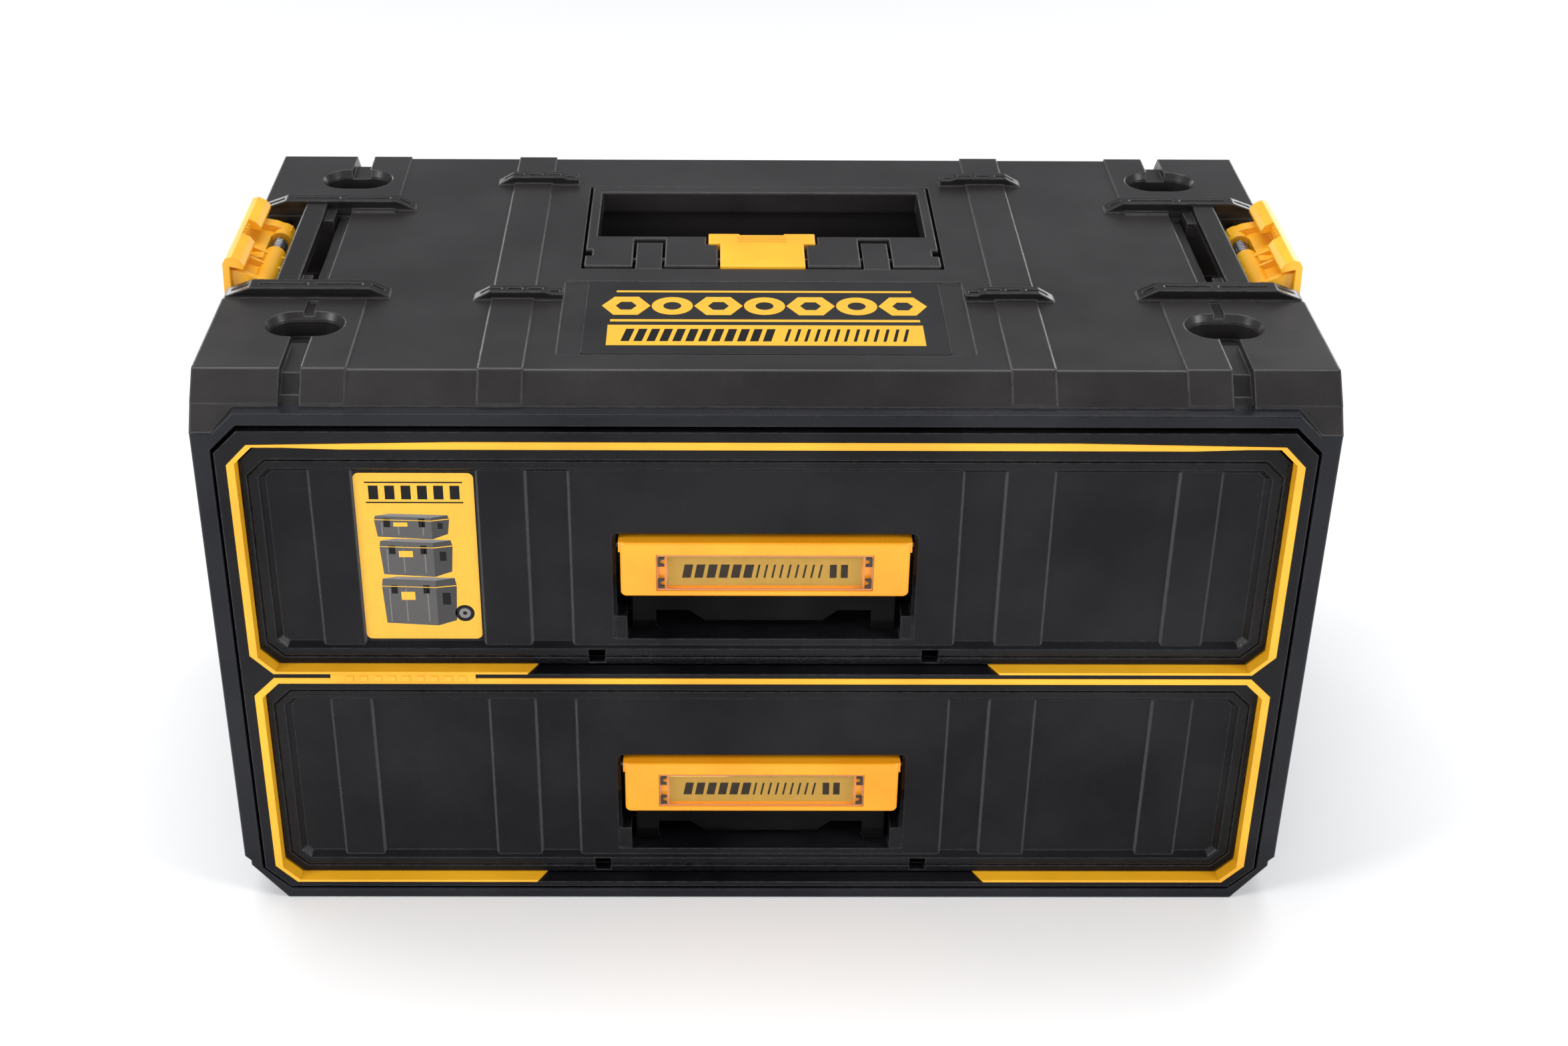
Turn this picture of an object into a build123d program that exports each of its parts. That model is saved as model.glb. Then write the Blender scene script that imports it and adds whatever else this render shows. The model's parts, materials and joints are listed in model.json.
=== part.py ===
from build123d import *
import math
import os

os.makedirs("parts", exist_ok=True)

# Two-drawer stacking tool box, in millimetres. X is width, the front faces -Y, +Z is up.
# The origin is on the floor, under the middle of the case.

# ---------------------------------------------------------------- driving dimensions

# Case shell
HALF_WIDTH = 277.0
HALF_DEPTH = 158.0
DECK_TOP = 310.2
DECK_RIM = 286.0
PAD_RISE = 1.0
BEVEL_RISE = 1.8
WALL = 3.0
RIM_DEPTH = 12.0
SHELL_FRONT = -HALF_DEPTH + RIM_DEPTH
SHELL_BACK = HALF_DEPTH - WALL
FACE = -HALF_DEPTH
FOOT_HALF = 256.0
FOOT_CUT = 22.0
SIDE_LOW = 274.0
RAIL_TOP = 316.0
SCREW_RADIUS = 1.75
SCREW_HEAD = 3.4
SCREW_HEIGHTS = (105, 152, 252)
SCREW_LINE = 268.0
SCREW_TIP = 143.5
SCREW_BOSS = 6.0
PANEL_SINK = 1.2

# Front frame
GAP_HALF = 268.0
BEZEL_HALF = 266.5
RIM_TOP = 296.5
TRIM_HALF = 261.0
OPENING_HALF = 257.0
TRIM_BACK = -149.0
BEZEL_BACK = -142.0
UPPER_OPENING = (148.3, 278.6)
OPENING_DROP = 0.9
LOWER_OPENING = (12.3, 141.0)
STRIP = 1.4
CLEAR_SPAN = 116.0
TRIM_PROUD = 0.3

# Drawer fronts
DRAWER_PITCH = 136.0
LOWER_FRONT = 12.9
FRONT_HALF = 256.3
FRONT_HEIGHT = 127.5
FRONT_FACE = -151.0
FRONT_PLATE = 6.5
PANEL_DEPTH = 3.5
RIB_DEPTH = 1.8
RIB_DRAFT = 1.0
TUB_FRONT = -118.0
TUB_BACK = 140.0
TUB_HALF = 243.0
TUB_WALL = 2.5
TUB_LOW = 3.5
TUB_HIGH = 110.0
POCKET_HALF = 74.6
POCKET_LOW = 14.0
POCKET_HIGH = 75.8
POCKET_BACK = -121.0
FLANGE = 4.5
BOLT_LINE = 60.0
BAR_FRONT = -140.5
BAR_SHEET = 3.5

# Drawer pull, measured up from the bottom of its drawer front
PULL_HALF = 72.2
PULL_LOW = 42.1
PULL_HIGH = 73.3
PULL_FACE = -153.2
PULL_PLATE = 4.0
PULL_AXIS = (-145.0, 68.5)
PIN_HALF = 79.0
PIN_RADIUS = 2.0
RUNNING_FIT = 0.05
BARREL_RADIUS = 3.8
WINDOW_HALF = 54.3
WINDOW_LOW = 45.4
WINDOW_HIGH = 66.3

# Ball slides
SLIDE_FRONT = -138.0
SLIDE_LENGTH = 280.0
SLIDE_CENTRE = 55.0
BALL_RADIUS = 1.6
CAGE_LENGTH = 120.0
BALLS_PER_ROW = 4

# Handle, centre catch and side latches
HANDLE_AXIS = (1.0, 305.5)
HANDLE_HALF = 94.5
GRIP_HALF = 89.0
HANDLE_TOP = 310.6
LATCH_AXIS = (263.0, 302.0)
WELL_FRONT = -46.0
WELL_BACK = 58.0
WELL_INNER = 227.0
WELL_FLOOR = 272.0
POCKET_FLOOR = 270.0
DECK_INSIDE = DECK_TOP - WALL

SIDES = (("left", -1), ("right", 1))
LEVELS = (("lower", LOWER_FRONT), ("upper", LOWER_FRONT + DRAWER_PITCH))


# ---------------------------------------------------------------- helpers

def save(piece, name):
    """Label a finished piece and write it to its own file."""
    piece.part.label = name
    export_step(piece.part, f"parts/{name}.step")


def front_plane(y):
    """Plane across the case at depth y, seen from the front: sketch x is X, sketch y is Z."""
    return Plane.XZ.offset(-y)


def slab(x0, x1, y0, y1, z0, z1, mode=Mode.ADD):
    """Add or cut a box between two corners in the open part."""
    with Locations(((x0 + x1) / 2, (y0 + y1) / 2, (z0 + z1) / 2)):
        Box(abs(x1 - x0), abs(y1 - y0), abs(z1 - z0), mode=mode)


def rod(radius, start, length, axis, mode=Mode.ADD):
    """Add or cut a round bar from a start point along X, Y or Z in the open part."""
    turn = {"X": (0, 90, 0), "Y": (-90, 0, 0), "Z": (0, 0, 0)}[axis]
    with Locations(Location(start, turn)):
        Cylinder(radius, length, align=(Align.CENTER, Align.CENTER, Align.MIN), mode=mode)


def cut_corners(half, low, high, low_cut, high_cut):
    """Corner points of a front outline whose four corners are cut at 45 degrees."""
    return [
        (-half + low_cut, low), (half - low_cut, low), (half, low + low_cut),
        (half, high - high_cut), (half - high_cut, high), (-half + high_cut, high),
        (-half, high - high_cut), (-half, low + low_cut),
    ]


def case_outline(top):
    """Corner points of the case seen from the front, with its stepped, cut foot."""
    right = [(FOOT_HALF, 0), (SIDE_LOW, FOOT_CUT), (SIDE_LOW, FOOT_CUT + 3), (HALF_WIDTH, FOOT_CUT + 6)]
    right += top
    return right + [(-x, z) for x, z in reversed(right)]


def channel(web, tip, half_height, sheet, centre, side):
    """Corner points of a C section: its web at |x| = web, its flanges reaching |x| = tip."""
    step = sheet if tip > web else -sheet
    points = [
        (web, -half_height), (web, half_height), (tip, half_height), (tip, half_height - sheet),
        (web + step, half_height - sheet), (web + step, -half_height + sheet),
        (tip, -half_height + sheet), (tip, -half_height),
    ]
    return [(side * x, centre + z) for x, z in points]


# ---------------------------------------------------------------- case shell

def make_base_pan():
    """Floor of the case: a shallow tray with turned-up sides and recesses underneath."""
    floor = 5.0
    with BuildPart() as pan:
        with BuildSketch(front_plane(SHELL_FRONT)):
            Polygon((-FOOT_HALF, 0), (FOOT_HALF, 0), (SIDE_LOW, FOOT_CUT), (SIDE_LOW, 36),
                    (-SIDE_LOW, 36), (-SIDE_LOW, FOOT_CUT))
            Polygon((-FOOT_HALF + 1, floor), (FOOT_HALF - 1, floor), (SIDE_LOW - WALL, FOOT_CUT + 2),
                    (SIDE_LOW - WALL, 40), (-SIDE_LOW + WALL, 40), (-SIDE_LOW + WALL, FOOT_CUT + 2),
                    mode=Mode.SUBTRACT)
        extrude(amount=-(SHELL_BACK - SHELL_FRONT))
        with BuildSketch(Plane.XY):
            with GridLocations(122, 92, 4, 3):
                RectangleRounded(108, 78, 8)
        extrude(amount=2.5, mode=Mode.SUBTRACT)
    return pan


def make_side_panel(side):
    """Side wall with raised ribs outside, bosses for the back screws and a cut-out for the latch."""
    inner = side * (HALF_WIDTH - WALL)
    outer = side * HALF_WIDTH
    with BuildPart() as panel:
        slab(inner, outer, SHELL_FRONT, SHELL_BACK, FOOT_CUT + 6, DECK_RIM)
        slab(inner, outer, SHELL_FRONT, SHELL_BACK, FOOT_CUT + 4, FOOT_CUT + 6)
        for z in SCREW_HEIGHTS:
            slab(side * (SCREW_LINE - SCREW_BOSS), inner, SCREW_TIP - 2.5, SHELL_BACK, z - SCREW_BOSS,
                 z + SCREW_BOSS)
        slab(side * (HALF_WIDTH - 7), side * (HALF_WIDTH + 3), WELL_FRONT, WELL_BACK, WELL_FLOOR, DECK_RIM + 1,
             Mode.SUBTRACT)
        with BuildSketch(Plane.YZ.offset(outer)):
            with Locations((4.5, 148)):
                with GridLocations(58, 0, 5, 1):
                    RectangleRounded(48, 196, 7)
        extrude(amount=-side * PANEL_SINK, mode=Mode.SUBTRACT)
        for z in SCREW_HEIGHTS:
            rod(SCREW_RADIUS, (side * SCREW_LINE, SCREW_TIP - 0.5, z), 20, "Y", Mode.SUBTRACT)
    return panel


def make_back_panel():
    """Back wall with shallow vertical panels and six countersunk screw holes."""
    with BuildPart() as panel:
        with BuildSketch(front_plane(SHELL_BACK)):
            Polygon(*case_outline([(HALF_WIDTH, DECK_RIM)]))
        extrude(amount=-WALL)
        with BuildSketch(front_plane(HALF_DEPTH)):
            with Locations((0, 150)):
                with GridLocations(76, 0, 6, 1):
                    RectangleRounded(64, 214, 8)
        extrude(amount=PANEL_SINK, mode=Mode.SUBTRACT)
        with Locations(*[Location((side * SCREW_LINE, HALF_DEPTH, z), (-90, 0, 0))
                         for _, side in SIDES for z in SCREW_HEIGHTS]):
            CounterSinkHole(SCREW_RADIUS, SCREW_HEAD, depth=WALL + 0.01)
    return panel


def make_case_screws():
    """Six countersunk screws that hold the back panel to the side walls."""
    sink = SCREW_HEAD - SCREW_RADIUS
    with BuildPart() as screws:
        for _, side in SIDES:
            for z in SCREW_HEIGHTS:
                x = side * SCREW_LINE
                rod(SCREW_RADIUS, (x, SCREW_TIP, z), HALF_DEPTH - SCREW_TIP - sink, "Y")
                with Locations(Location((x, HALF_DEPTH - sink, z), (-90, 0, 0))):
                    Cone(SCREW_RADIUS, SCREW_HEAD, sink, align=(Align.CENTER, Align.CENTER, Align.MIN))
                slab(x - 0.5, x + 0.5, HALF_DEPTH - 1, HALF_DEPTH, z - 2, z + 2, Mode.SUBTRACT)
                slab(x - 2, x + 2, HALF_DEPTH - 1, HALF_DEPTH, z - 0.5, z + 0.5, Mode.SUBTRACT)
    return screws


# ---------------------------------------------------------------- top deck

OUTER_RAIL = [(192, 309), (276, 309), (276, 311.2), (263.2, RAIL_TOP), (201.6, RAIL_TOP), (192, 311.2)]
INNER_RAIL = [(103, 309), (148.5, 309), (148.5, 310.8), (140.5, 315.2), (112, 315.2), (109, 313.9),
              (103, 313.9)]
OUTER_RAIL_SPANS = ((-57.0, -46.5), (58.0, 67.0))
INNER_RAIL_SPANS = ((-59.0, -51.0), (96.0, 104.0))
OUTER_SLOTS = ((195, 201), (206, 230), (234, 259), (264.5, 273))
INNER_SLOTS = ((105, 110), (113.5, 121), (124, 131.5), (134.5, 145))
OVALS = ((-89.0, -1), (102.0, 1))
SOCKET_LINE = 230.0
CHANNEL_LINE = 229.7
CHANNEL_HALF = 5.1
BAND = (-60.0, 55.0)
LABEL_SINK = 0.6
POCKET_OPENING = (96.0, -19.0, 94.0)
TONGUE = (53.4, 67.3, 15.0)
EDGE_ROUND = 3.0
STRIP_EDGE = 137.5


def deck_section():
    """Corner points, in Y and Z, of the deck's outside: a flat top with a bevel to each rim."""
    return [(-HALF_DEPTH, DECK_RIM), (HALF_DEPTH, DECK_RIM), (149.6, 297.8), (136.7, DECK_TOP),
            (-136.7, DECK_TOP), (-149.6, 297.8)]


def deck_hollow():
    """Corner points, in Y and Z, of the space under the deck."""
    return [(-154.0, DECK_RIM - 1), (154.0, DECK_RIM - 1), (154.0, DECK_RIM), (146.6, 296.4),
            (135.4, DECK_INSIDE), (-135.4, DECK_INSIDE), (-146.6, 296.4), (-154.0, DECK_RIM)]


def raised_section():
    """Corner points, in Y and Z, of the strips that stand a little above the deck and its bevels."""
    top = DECK_TOP + PAD_RISE
    low = (148.0 + BEVEL_RISE, 296.2 + BEVEL_RISE)
    return [(-148.0, 296.0), (-135.0, 308.5), (135.0, 308.5), (148.0, 296.0),
            low, (STRIP_EDGE, top), (-STRIP_EDGE, top), (-low[0], low[1])]


def channel_outline(centre, end):
    """Corner points, in Y and Z, of a socket's channel: flat on top, then down the bevel to a low step."""
    return [(centre, 314), (centre, 306.4), (end * 133.0, 306.4), (end * 141.6, 298.2),
            (end * 142.6, 299.4), (end * 147.2, 294.9), (end * 153, 294.9), (end * 153, 314)]


def make_top_deck():
    """Lid of the case: a bevelled shell with the stacking rails and the openings for its inserts."""
    with BuildPart() as deck:
        with BuildSketch(Plane.YZ.offset(-HALF_WIDTH)) as outside:
            Polygon(*deck_section())
            fillet([corner for corner in outside.vertices() if corner.Y > DECK_RIM + 1], EDGE_ROUND)
        extrude(amount=2 * HALF_WIDTH)
        with BuildSketch(Plane.YZ.offset(-HALF_WIDTH + WALL)):
            Polygon(*deck_hollow())
        extrude(amount=2 * (HALF_WIDTH - WALL), mode=Mode.SUBTRACT)

        # raised strips beside the handle, and raised corner pads with a lower band between them
        for start, width in ((-139.5, 21.5), (118.0, 21.5), (-HALF_WIDTH, 74.0), (203.0, 74.0)):
            with BuildSketch(Plane.YZ.offset(start)) as raised:
                Polygon(*raised_section())
                fillet([corner for corner in raised.vertices() if abs(corner.X) == STRIP_EDGE], EDGE_ROUND)
            extrude(amount=width)
        for _, side in SIDES:
            slab(side * 203, side * 278, *BAND, DECK_TOP, DECK_TOP + 2, Mode.SUBTRACT)

        # front rim's place
        with BuildSketch(front_plane(FACE - 1)):
            Polygon((-266.5, DECK_RIM - 1), (266.5, DECK_RIM - 1), (266.5, DECK_RIM), (256, RIM_TOP),
                    (-256, RIM_TOP), (-266.5, DECK_RIM))
        extrude(amount=-(RIM_DEPTH + 1), mode=Mode.SUBTRACT)

        # rails
        for _, side in SIDES:
            for profile, spans, slots in ((OUTER_RAIL, OUTER_RAIL_SPANS, OUTER_SLOTS),
                                          (INNER_RAIL, INNER_RAIL_SPANS, INNER_SLOTS)):
                for y0, y1 in spans:
                    with BuildSketch(front_plane(y0)):
                        Polygon(*[(side * x, z) for x, z in profile])
                    extrude(amount=-(y1 - y0))
                    middle = (y0 + y1) / 2
                    for x0, x1 in slots:
                        slab(side * x0, side * x1, middle - 1, middle + 1, 311.6, 318, Mode.SUBTRACT)

        # openings for the handle pocket, the latch wells and the sockets, and the label plate's place
        slab(-POCKET_OPENING[0], POCKET_OPENING[0], *POCKET_OPENING[1:], DECK_INSIDE - 1, 313, Mode.SUBTRACT)
        for _, side in SIDES:
            slab(side * WELL_INNER, side * 280, WELL_FRONT, WELL_BACK, DECK_RIM - 1, 313, Mode.SUBTRACT)
            for centre, _ in OVALS:
                with BuildSketch(Plane.XY.offset(DECK_TOP + PAD_RISE)):
                    with Locations((side * SOCKET_LINE, centre)):
                        SlotOverall(40, 29)
                extrude(amount=-5, taper=32, mode=Mode.SUBTRACT)
            slab(side * 227.7, side * 232.5, -76, -60, 309, 313, Mode.SUBTRACT)
            for centre, end in OVALS:
                with BuildSketch(Plane.YZ.offset(side * CHANNEL_LINE)):
                    Polygon(*channel_outline(centre, end))
                extrude(amount=CHANNEL_HALF, both=True, mode=Mode.SUBTRACT)
        slab(-103, 103, -120.5, -35, DECK_TOP - LABEL_SINK, DECK_TOP + 1, Mode.SUBTRACT)
    return deck


def make_sockets():
    """Four socket blocks under the deck, each with a deep oval and the floor of its channel."""
    low, end_height = 293.0, 296.4
    with BuildPart() as sockets:
        for _, side in SIDES:
            with BuildSketch(Plane.YZ.offset(side * SOCKET_LINE)):
                for end, near in ((-1, 62), (1, 75)):
                    Polygon((end * 146, low), (end * 146, end_height), (end * 135.4, DECK_INSIDE),
                            (end * near, DECK_INSIDE), (end * near, low))
            extrude(amount=24, both=True)
            for centre, _ in OVALS:
                with BuildSketch(Plane.XY.offset(DECK_INSIDE)):
                    with Locations((side * SOCKET_LINE, centre)):
                        SlotOverall(35.4, 24.4)
                extrude(amount=-9, taper=3, mode=Mode.SUBTRACT)
            for centre, end in OVALS:
                with BuildSketch(Plane.YZ.offset(side * CHANNEL_LINE)):
                    Polygon(*channel_outline(centre, end))
                extrude(amount=CHANNEL_HALF, both=True, mode=Mode.SUBTRACT)
    return sockets


def make_handle_pocket():
    """Tray under the handle, open at the top, with the two tongues that hold the hinge pin."""
    half, front, back = POCKET_OPENING
    with BuildPart() as pocket:
        slab(-half - WALL, half + WALL, front - WALL, back + WALL, POCKET_FLOOR - WALL, DECK_INSIDE)
        slab(-half, half, front, back, POCKET_FLOOR, DECK_TOP, Mode.SUBTRACT)
        for _, side in SIDES:
            slab(side * TONGUE[0], side * TONGUE[1], front - 1, TONGUE[2], POCKET_FLOOR - 1, DECK_INSIDE)
            slab(side * TONGUE[0], side * TONGUE[1], front, TONGUE[2], DECK_INSIDE, DECK_TOP)
        rod(PIN_RADIUS, (-70, *HANDLE_AXIS), 140, "X", Mode.SUBTRACT)
    return pocket


def make_latch_well(side):
    """Tray under a side latch, open at the top and the side, with two ledges along its inner wall."""
    outer = side * (HALF_WIDTH - WALL)
    with BuildPart() as well:
        slab(side * (WELL_INNER - 2), outer, WELL_FRONT - WALL, WELL_BACK + WALL, WELL_FLOOR - WALL,
             DECK_INSIDE)
        slab(side * (WELL_INNER + 7), side * 280, WELL_FRONT, WELL_BACK, WELL_FLOOR, DECK_TOP, Mode.SUBTRACT)
        slab(side * WELL_INNER, side * (WELL_INNER + 8), WELL_FRONT, WELL_BACK, 305.4, DECK_TOP, Mode.SUBTRACT)
        slab(side * WELL_INNER, side * (WELL_INNER + 3), WELL_FRONT, WELL_BACK, 305, 306.6)
        rod(PIN_RADIUS, (side * LATCH_AXIS[0], WELL_FRONT - WALL, LATCH_AXIS[1]),
            WELL_BACK - WELL_FRONT + 2 * WALL, "Y", Mode.SUBTRACT)
    return well


def make_label_plate():
    """Thin plate that lies in the deck's recess, in front of the handle."""
    with BuildPart() as plate:
        with BuildSketch(Plane.XY.offset(DECK_TOP - LABEL_SINK)):
            with Locations((0, -77.5)):
                RectangleRounded(182, 84, 2)
        extrude(amount=0.5)
    return plate


def make_bridge_bar(side):
    """Bar across a latch well, level with the stacking rails, with two lugs on its inner side."""
    inner, outer = 240, 252
    with BuildPart() as bar:
        slab(side * inner, side * outer, WELL_FRONT, WELL_BACK, 309, 315)
        chamfer(bar.edges().filter_by(Axis.Y).group_by(Axis.Z)[-1], 0.8)
        for lug in ((42, WELL_BACK), (WELL_FRONT, -30)):
            slab(side * (inner - 5), side * inner, *lug, 303, 311)
            slab(side * (inner - 2), side * outer, *lug, 303, 309)
    return bar


# ---------------------------------------------------------------- front frame

def make_front_rim():
    """Outer ring of the case's front, which closes the shell and the deck."""
    with BuildPart() as rim:
        with BuildSketch(front_plane(FACE)):
            Polygon(*case_outline([(HALF_WIDTH, DECK_RIM), (266.5, DECK_RIM), (FOOT_HALF, RIM_TOP)]))
            Polygon(*cut_corners(GAP_HALF, 6, 290, 14, 13.5), mode=Mode.SUBTRACT)
        extrude(amount=-RIM_DEPTH)
        chamfer(rim.edges().filter_by(GeomType.LINE).group_by(Axis.Y)[0], 0.6)
    return rim


def make_front_bezel():
    """Front frame around both drawers, with a step behind the yellow trim and four strikes."""
    with BuildPart() as bezel:
        with BuildSketch(front_plane(FACE)):
            Polygon(*cut_corners(BEZEL_HALF, 8, 287.2, 12.5, 12))
        extrude(amount=-RIM_DEPTH)
        with BuildSketch(front_plane(SHELL_FRONT)):
            Polygon(*cut_corners(271, 6, 293, 19, 18))
        extrude(amount=-(BEZEL_BACK - SHELL_FRONT))
        for x in (-BOLT_LINE, BOLT_LINE):
            for low, high in ((263.6, 290), (127.6, 147)):
                slab(x - 6, x + 6, BEZEL_BACK - 1, -136, low, high)
        with BuildSketch(front_plane(FACE)):
            Polygon(*upper_trim_outline())
            Polygon(*lower_trim_outline())
        extrude(amount=-(TRIM_BACK - FACE), mode=Mode.SUBTRACT)
        with BuildSketch(front_plane(FACE)):
            Polygon(*upper_opening_outline())
            Polygon(*lower_opening_outline())
        extrude(amount=-(BEZEL_BACK - FACE), mode=Mode.SUBTRACT)
        # finger room under each drawer front, between the cut ends of the trim
        for low, high in ((145.6, 149), (9, 13)):
            slab(-CLEAR_SPAN, CLEAR_SPAN, TRIM_BACK - 0.5, BEZEL_BACK - 1, low, high, Mode.SUBTRACT)
    return bezel


def upper_opening_outline():
    """Corner points of the upper drawer opening, whose top edge steps down between its corners."""
    low, high = UPPER_OPENING
    right = [(OPENING_HALF - 8.6, low), (OPENING_HALF, low + 8.6), (OPENING_HALF, high - 9),
             (OPENING_HALF - 9, high), (233, high), (206, high - OPENING_DROP)]
    return right + [(-x, z) for x, z in reversed(right)]


def lower_opening_outline():
    """Corner points of the lower drawer opening."""
    return cut_corners(OPENING_HALF, *LOWER_OPENING, 8.6, 9)


def upper_trim_outline():
    """Outside of the upper trim ring: its top edge rises gently away from the corners."""
    low = UPPER_OPENING[0] - STRIP
    right = [(250, low), (TRIM_HALF, low + 11), (TRIM_HALF, 268.8), (250.5, 279.9), (150, 281.8)]
    return right + [(-x, z) for x, z in reversed(right)]


def lower_trim_outline():
    """Outside of the lower trim ring."""
    return cut_corners(TRIM_HALF, LOWER_OPENING[0] - STRIP, 144.4, 11, 11)


def make_trim():
    """Yellow trim: two rings around the drawer openings, joined by a raised pad, open below the pulls."""
    pad_left, pad_right = -221.0, -147.0
    with BuildPart() as trim:
        with BuildSketch(front_plane(FACE - TRIM_PROUD)):
            Polygon(*upper_trim_outline())
            Polygon(*lower_trim_outline())
            Polygon(*upper_opening_outline(), mode=Mode.SUBTRACT)
            Polygon(*lower_opening_outline(), mode=Mode.SUBTRACT)
        extrude(amount=-(TRIM_BACK - FACE + TRIM_PROUD))
        for low in (LOWER_OPENING[0], UPPER_OPENING[0]):
            with BuildSketch(Plane.XY.offset(low - 1.6)):
                Polygon((-121, FACE - 1), (121, FACE - 1), (115.5, TRIM_BACK), (-115.5, TRIM_BACK))
            extrude(amount=1.7, mode=Mode.SUBTRACT)
        # pad across the bar between the drawers, with a plain row of raised bars
        with BuildSketch(Plane.YZ.offset(pad_left)):
            Polygon((FACE - 0.8, 142.4), (FACE, 142.2), (FACE, 148.2), (FACE + 1.5, 148.2), (FACE - 0.8, 146.6))
        extrude(amount=pad_right - pad_left)
        for index in range(9):
            x = pad_left + 8 + index * 7.2
            slab(x, x + 3.6, FACE - 1.3, FACE - 0.7, 143.0, 146.2)
    return trim


# ---------------------------------------------------------------- drawers

def make_tub(bottom):
    """Drawer tray, open at the top, with rounded inner corners and holes for the front's screws."""
    with BuildPart() as tub:
        slab(-TUB_HALF, TUB_HALF, TUB_FRONT, TUB_BACK, bottom + TUB_LOW, bottom + TUB_HIGH)
        fillet(tub.edges().filter_by(Axis.Z).group_by(Axis.Y)[-1], 4)
        with BuildSketch(Plane.XY.offset(bottom + TUB_LOW + TUB_WALL)):
            with Locations((0, (TUB_FRONT + TUB_BACK) / 2)):
                RectangleRounded(2 * (TUB_HALF - TUB_WALL), TUB_BACK - TUB_FRONT - 2 * TUB_WALL, 6)
        extrude(amount=TUB_HIGH, mode=Mode.SUBTRACT)
        for x, z in FRONT_SCREWS:
            rod(PIN_RADIUS, (x, TUB_FRONT, bottom + z), TUB_WALL, "Y", Mode.SUBTRACT)
    return tub


FRONT_SCREWS = [(x, z) for x in (-225, -110, 110, 225) for z in (28, 96)]
RIBS = ((-96.5, 96.5), (118.5, 141.5), (203.5, 223.5), (-141.5, -118.5), (-223.5, -203.5))


def make_drawer_front(bottom):
    """Drawer front: flanged face with a groove, stepped vertical panels and the pocket for the pull."""
    back = FRONT_FACE + FRONT_PLATE
    face_depth = FRONT_FACE + RIB_DEPTH
    floor = FRONT_FACE + PANEL_DEPTH
    with BuildPart() as front:
        with BuildSketch(front_plane(FRONT_FACE)):
            Polygon(*cut_corners(FRONT_HALF, bottom, bottom + FRONT_HEIGHT, 9, 9.5))
        extrude(amount=-FLANGE)
        with BuildSketch(front_plane(FRONT_FACE + FLANGE)):
            Polygon(*cut_corners(251, bottom + 6, bottom + 116, 9, 9))
        extrude(amount=FLANGE - FRONT_PLATE)
        # groove round the flange
        with BuildSketch(front_plane(FRONT_FACE)):
            Polygon(*cut_corners(253.4, bottom + 3.8, bottom + 119.2, 8.6, 8.8))
            Polygon(*cut_corners(252.4, bottom + 4.8, bottom + 118.2, 8.3, 8.5), mode=Mode.SUBTRACT)
        extrude(amount=-1.5, mode=Mode.SUBTRACT)
        # sunk panel with sloped sides, and the ribs that stand in it
        with BuildSketch(front_plane(FRONT_FACE)):
            Polygon(*cut_corners(248, bottom + 8.8, bottom + 114.2, 5, 5))
        extrude(amount=-PANEL_DEPTH, taper=42, mode=Mode.SUBTRACT)
        for x0, x1 in RIBS:
            with BuildSketch(Plane.XY.offset(bottom + 9.5)):
                Polygon((x0 - RIB_DRAFT, back), (x0 - RIB_DRAFT, floor), (x0, face_depth), (x1, face_depth),
                        (x1 + RIB_DRAFT, floor), (x1 + RIB_DRAFT, back))
            extrude(amount=104)
        # wall that reaches back to the tray, and the box behind the pull
        with BuildSketch(front_plane(back)):
            Polygon(*cut_corners(TUB_HALF, bottom + 5, bottom + 112, 6, 6))
            Polygon(*cut_corners(TUB_HALF - TUB_WALL, bottom + 7.5, bottom + 109.5, 5, 5), mode=Mode.SUBTRACT)
        extrude(amount=-(TUB_FRONT - back))
        slab(-POCKET_HALF - 3.5, POCKET_HALF + 3.5, back, TUB_FRONT, bottom + 10.8, bottom + POCKET_HIGH + 3.2)
        slab(-POCKET_HALF, POCKET_HALF, FRONT_FACE - 1, POCKET_BACK, bottom + POCKET_LOW,
             bottom + POCKET_HIGH, Mode.SUBTRACT)
        with BuildSketch(front_plane(face_depth)):
            Polygon(*cut_corners(POCKET_HALF + 1.9, bottom + POCKET_LOW, bottom + POCKET_HIGH + 1, 0.1, 2))
        extrude(amount=-1.9, taper=44, mode=Mode.SUBTRACT)
        for _, side in SIDES:
            slab(side * 69.5, side * (POCKET_HALF + 1), face_depth + 0.5, -136, bottom + POCKET_LOW - 1,
                 bottom + 27.5)
            slab(side * 54.4, side * 67.6, BAR_FRONT - 0.6, -136.4, bottom + 10, bottom + 15, Mode.SUBTRACT)
            for low, high in ((75, 80), (109, 113)):
                slab(side * (BOLT_LINE - 3.6), side * (BOLT_LINE + 3.6), BAR_FRONT - 0.6, -136.9, bottom + low,
                     bottom + high, Mode.SUBTRACT)
            slab(side * 81, side * 89.5, FRONT_FACE - 1, back + 1, bottom + 0.8, bottom + 8.4, Mode.SUBTRACT)
        rod(PIN_RADIUS, (-PIN_HALF, PULL_AXIS[0], bottom + PULL_AXIS[1]), 2 * PIN_HALF, "X", Mode.SUBTRACT)
        for x, z in FRONT_SCREWS:
            rod(5, (x, back, bottom + z), TUB_FRONT - back, "Y")
            rod(PIN_RADIUS, (x, -138, bottom + z), 20, "Y", Mode.SUBTRACT)
    return front


def make_front_screws(bottom):
    """Screws from inside the tray into the drawer front."""
    inside = TUB_FRONT + TUB_WALL
    with BuildPart() as screws:
        for x, z in FRONT_SCREWS:
            rod(PIN_RADIUS, (x, -136, bottom + z), inside + 136, "Y")
            rod(4, (x, inside, bottom + z), 2.2, "Y")
            slab(x - 0.6, x + 0.6, inside + 1, inside + 2.3, bottom + z - 2.5, bottom + z + 2.5, Mode.SUBTRACT)
            slab(x - 2.5, x + 2.5, inside + 1, inside + 2.3, bottom + z - 0.6, bottom + z + 0.6, Mode.SUBTRACT)
    return screws


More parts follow.
